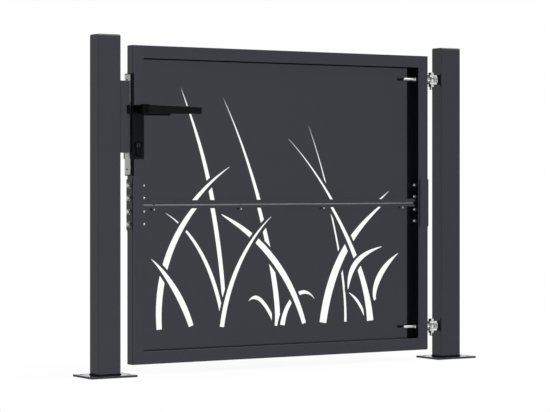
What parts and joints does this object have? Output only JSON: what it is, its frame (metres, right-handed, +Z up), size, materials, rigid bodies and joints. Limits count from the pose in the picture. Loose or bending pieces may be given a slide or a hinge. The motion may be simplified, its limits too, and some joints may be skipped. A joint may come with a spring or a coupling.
{
  "type": "garden gate",
  "caption": "Steel garden gate: a sheet leaf with grass-blade cut-outs swings on pin hinges between posts on base plates, with a lever-drawn latch and a key-driven dead bolt.",
  "frame": {"origin": "on the ground, midway between the posts", "axes": "+X along the gate towards the hinge post, +Y towards the back, +Z up; the gate is closed"},
  "size_m": [1.11, 0.14, 0.798],
  "materials": {
    "coated_steel": "glossy anthracite powder coat over galvanised steel",
    "zinc": "bright zinc plating",
    "lock_steel": "satin stainless steel",
    "cylinder_metal": "black nickel plating on brass",
    "black_steel": "blacked steel",
    "grey_plastic": "moulded anthracite plastic, polished",
    "black_handle": "satin black coat on cast aluminium",
    "black_plastic": "moulded black plastic"
  },
  "bodies": {
    "posts": {"lock_post_tube": "coated_steel", "hinge_post_tube": "coated_steel", "lock_post_base": "coated_steel", "hinge_post_base": "coated_steel", "lock_post_cap": "grey_plastic", "hinge_post_cap": "grey_plastic", "strike_box": "coated_steel", "upper_hinge_bracket": "zinc", "lower_hinge_bracket": "zinc", "upper_hinge_pin": "zinc", "lower_hinge_pin": "zinc", "upper_hinge_pin_nut": "zinc", "lower_hinge_pin_nut": "zinc", "hinge_bracket_screws": "zinc"},
    "leaf": {"top_rail": "coated_steel", "bottom_rail": "coated_steel", "upper_lock_stile": "coated_steel", "lower_lock_stile": "coated_steel", "upper_hinge_stile": "coated_steel", "lower_hinge_stile": "coated_steel", "upper_panel": "coated_steel", "lower_panel": "coated_steel", "upper_seam_strip": "coated_steel", "lower_seam_strip": "coated_steel", "seam_strip_bolts": "zinc", "seam_strip_nuts": "zinc", "lock_side_channel": "coated_steel", "hinge_side_channel": "coated_steel", "channel_bolts": "zinc", "channel_nuts": "zinc", "upper_hinge_eye": "zinc", "lower_hinge_eye": "zinc", "hinge_rod_nuts": "zinc", "lock_cover": "black_plastic", "lock_case": "lock_steel", "lock_case_lid": "lock_steel", "forend": "lock_steel", "forend_screws": "black_steel", "lock_cylinder": "cylinder_metal", "front_handle_plate": "black_handle", "back_handle_plate": "black_handle", "handle_plate_screws": "lock_steel"},
    "lever": {"front_lever": "black_handle", "back_lever": "black_handle", "spindle": "lock_steel", "follower": "lock_steel"},
    "latch": {"latch_bolt": "lock_steel"},
    "key": {"cylinder_plug": "cylinder_metal", "cylinder_cam": "cylinder_metal"},
    "dead_bolt": {"dead_bolt": "lock_steel"}
  },
  "joints": [
    {"name": "gate_swing", "type": "hinge", "parent": "posts", "child": "leaf", "pos_m": [0.446, -0.001, 0.4], "axis": [0, 0, 1], "range_deg": [-90, 90]},
    {"name": "lever_turn", "type": "hinge", "parent": "leaf", "child": "lever", "pos_m": [-0.4195, 0, 0.6245], "axis": [0, 1, 0], "range_deg": [0, 35], "stiffness_Nm_per_rad": 1.2, "springref_deg": -34.38},
    {"name": "latch_slide", "type": "slide", "parent": "leaf", "child": "latch", "axis": [1, 0, 0], "range_m": [0, 0.009]},
    {"name": "key_turn", "type": "hinge", "parent": "leaf", "child": "key", "pos_m": [-0.4195, 0, 0.5395], "axis": [0, 1, 0], "range_deg": [0, 360]},
    {"name": "bolt_slide", "type": "slide", "parent": "leaf", "child": "dead_bolt", "axis": [-1, 0, 0], "range_m": [0, 0.014]}
  ],
  "couplings": [
    {"joint": "latch_slide", "follows": "lever_turn", "m_per_rad": 0.01473},
    {"joint": "key_turn", "follows": "bolt_slide", "rad_per_m": 448.7}
  ]
}
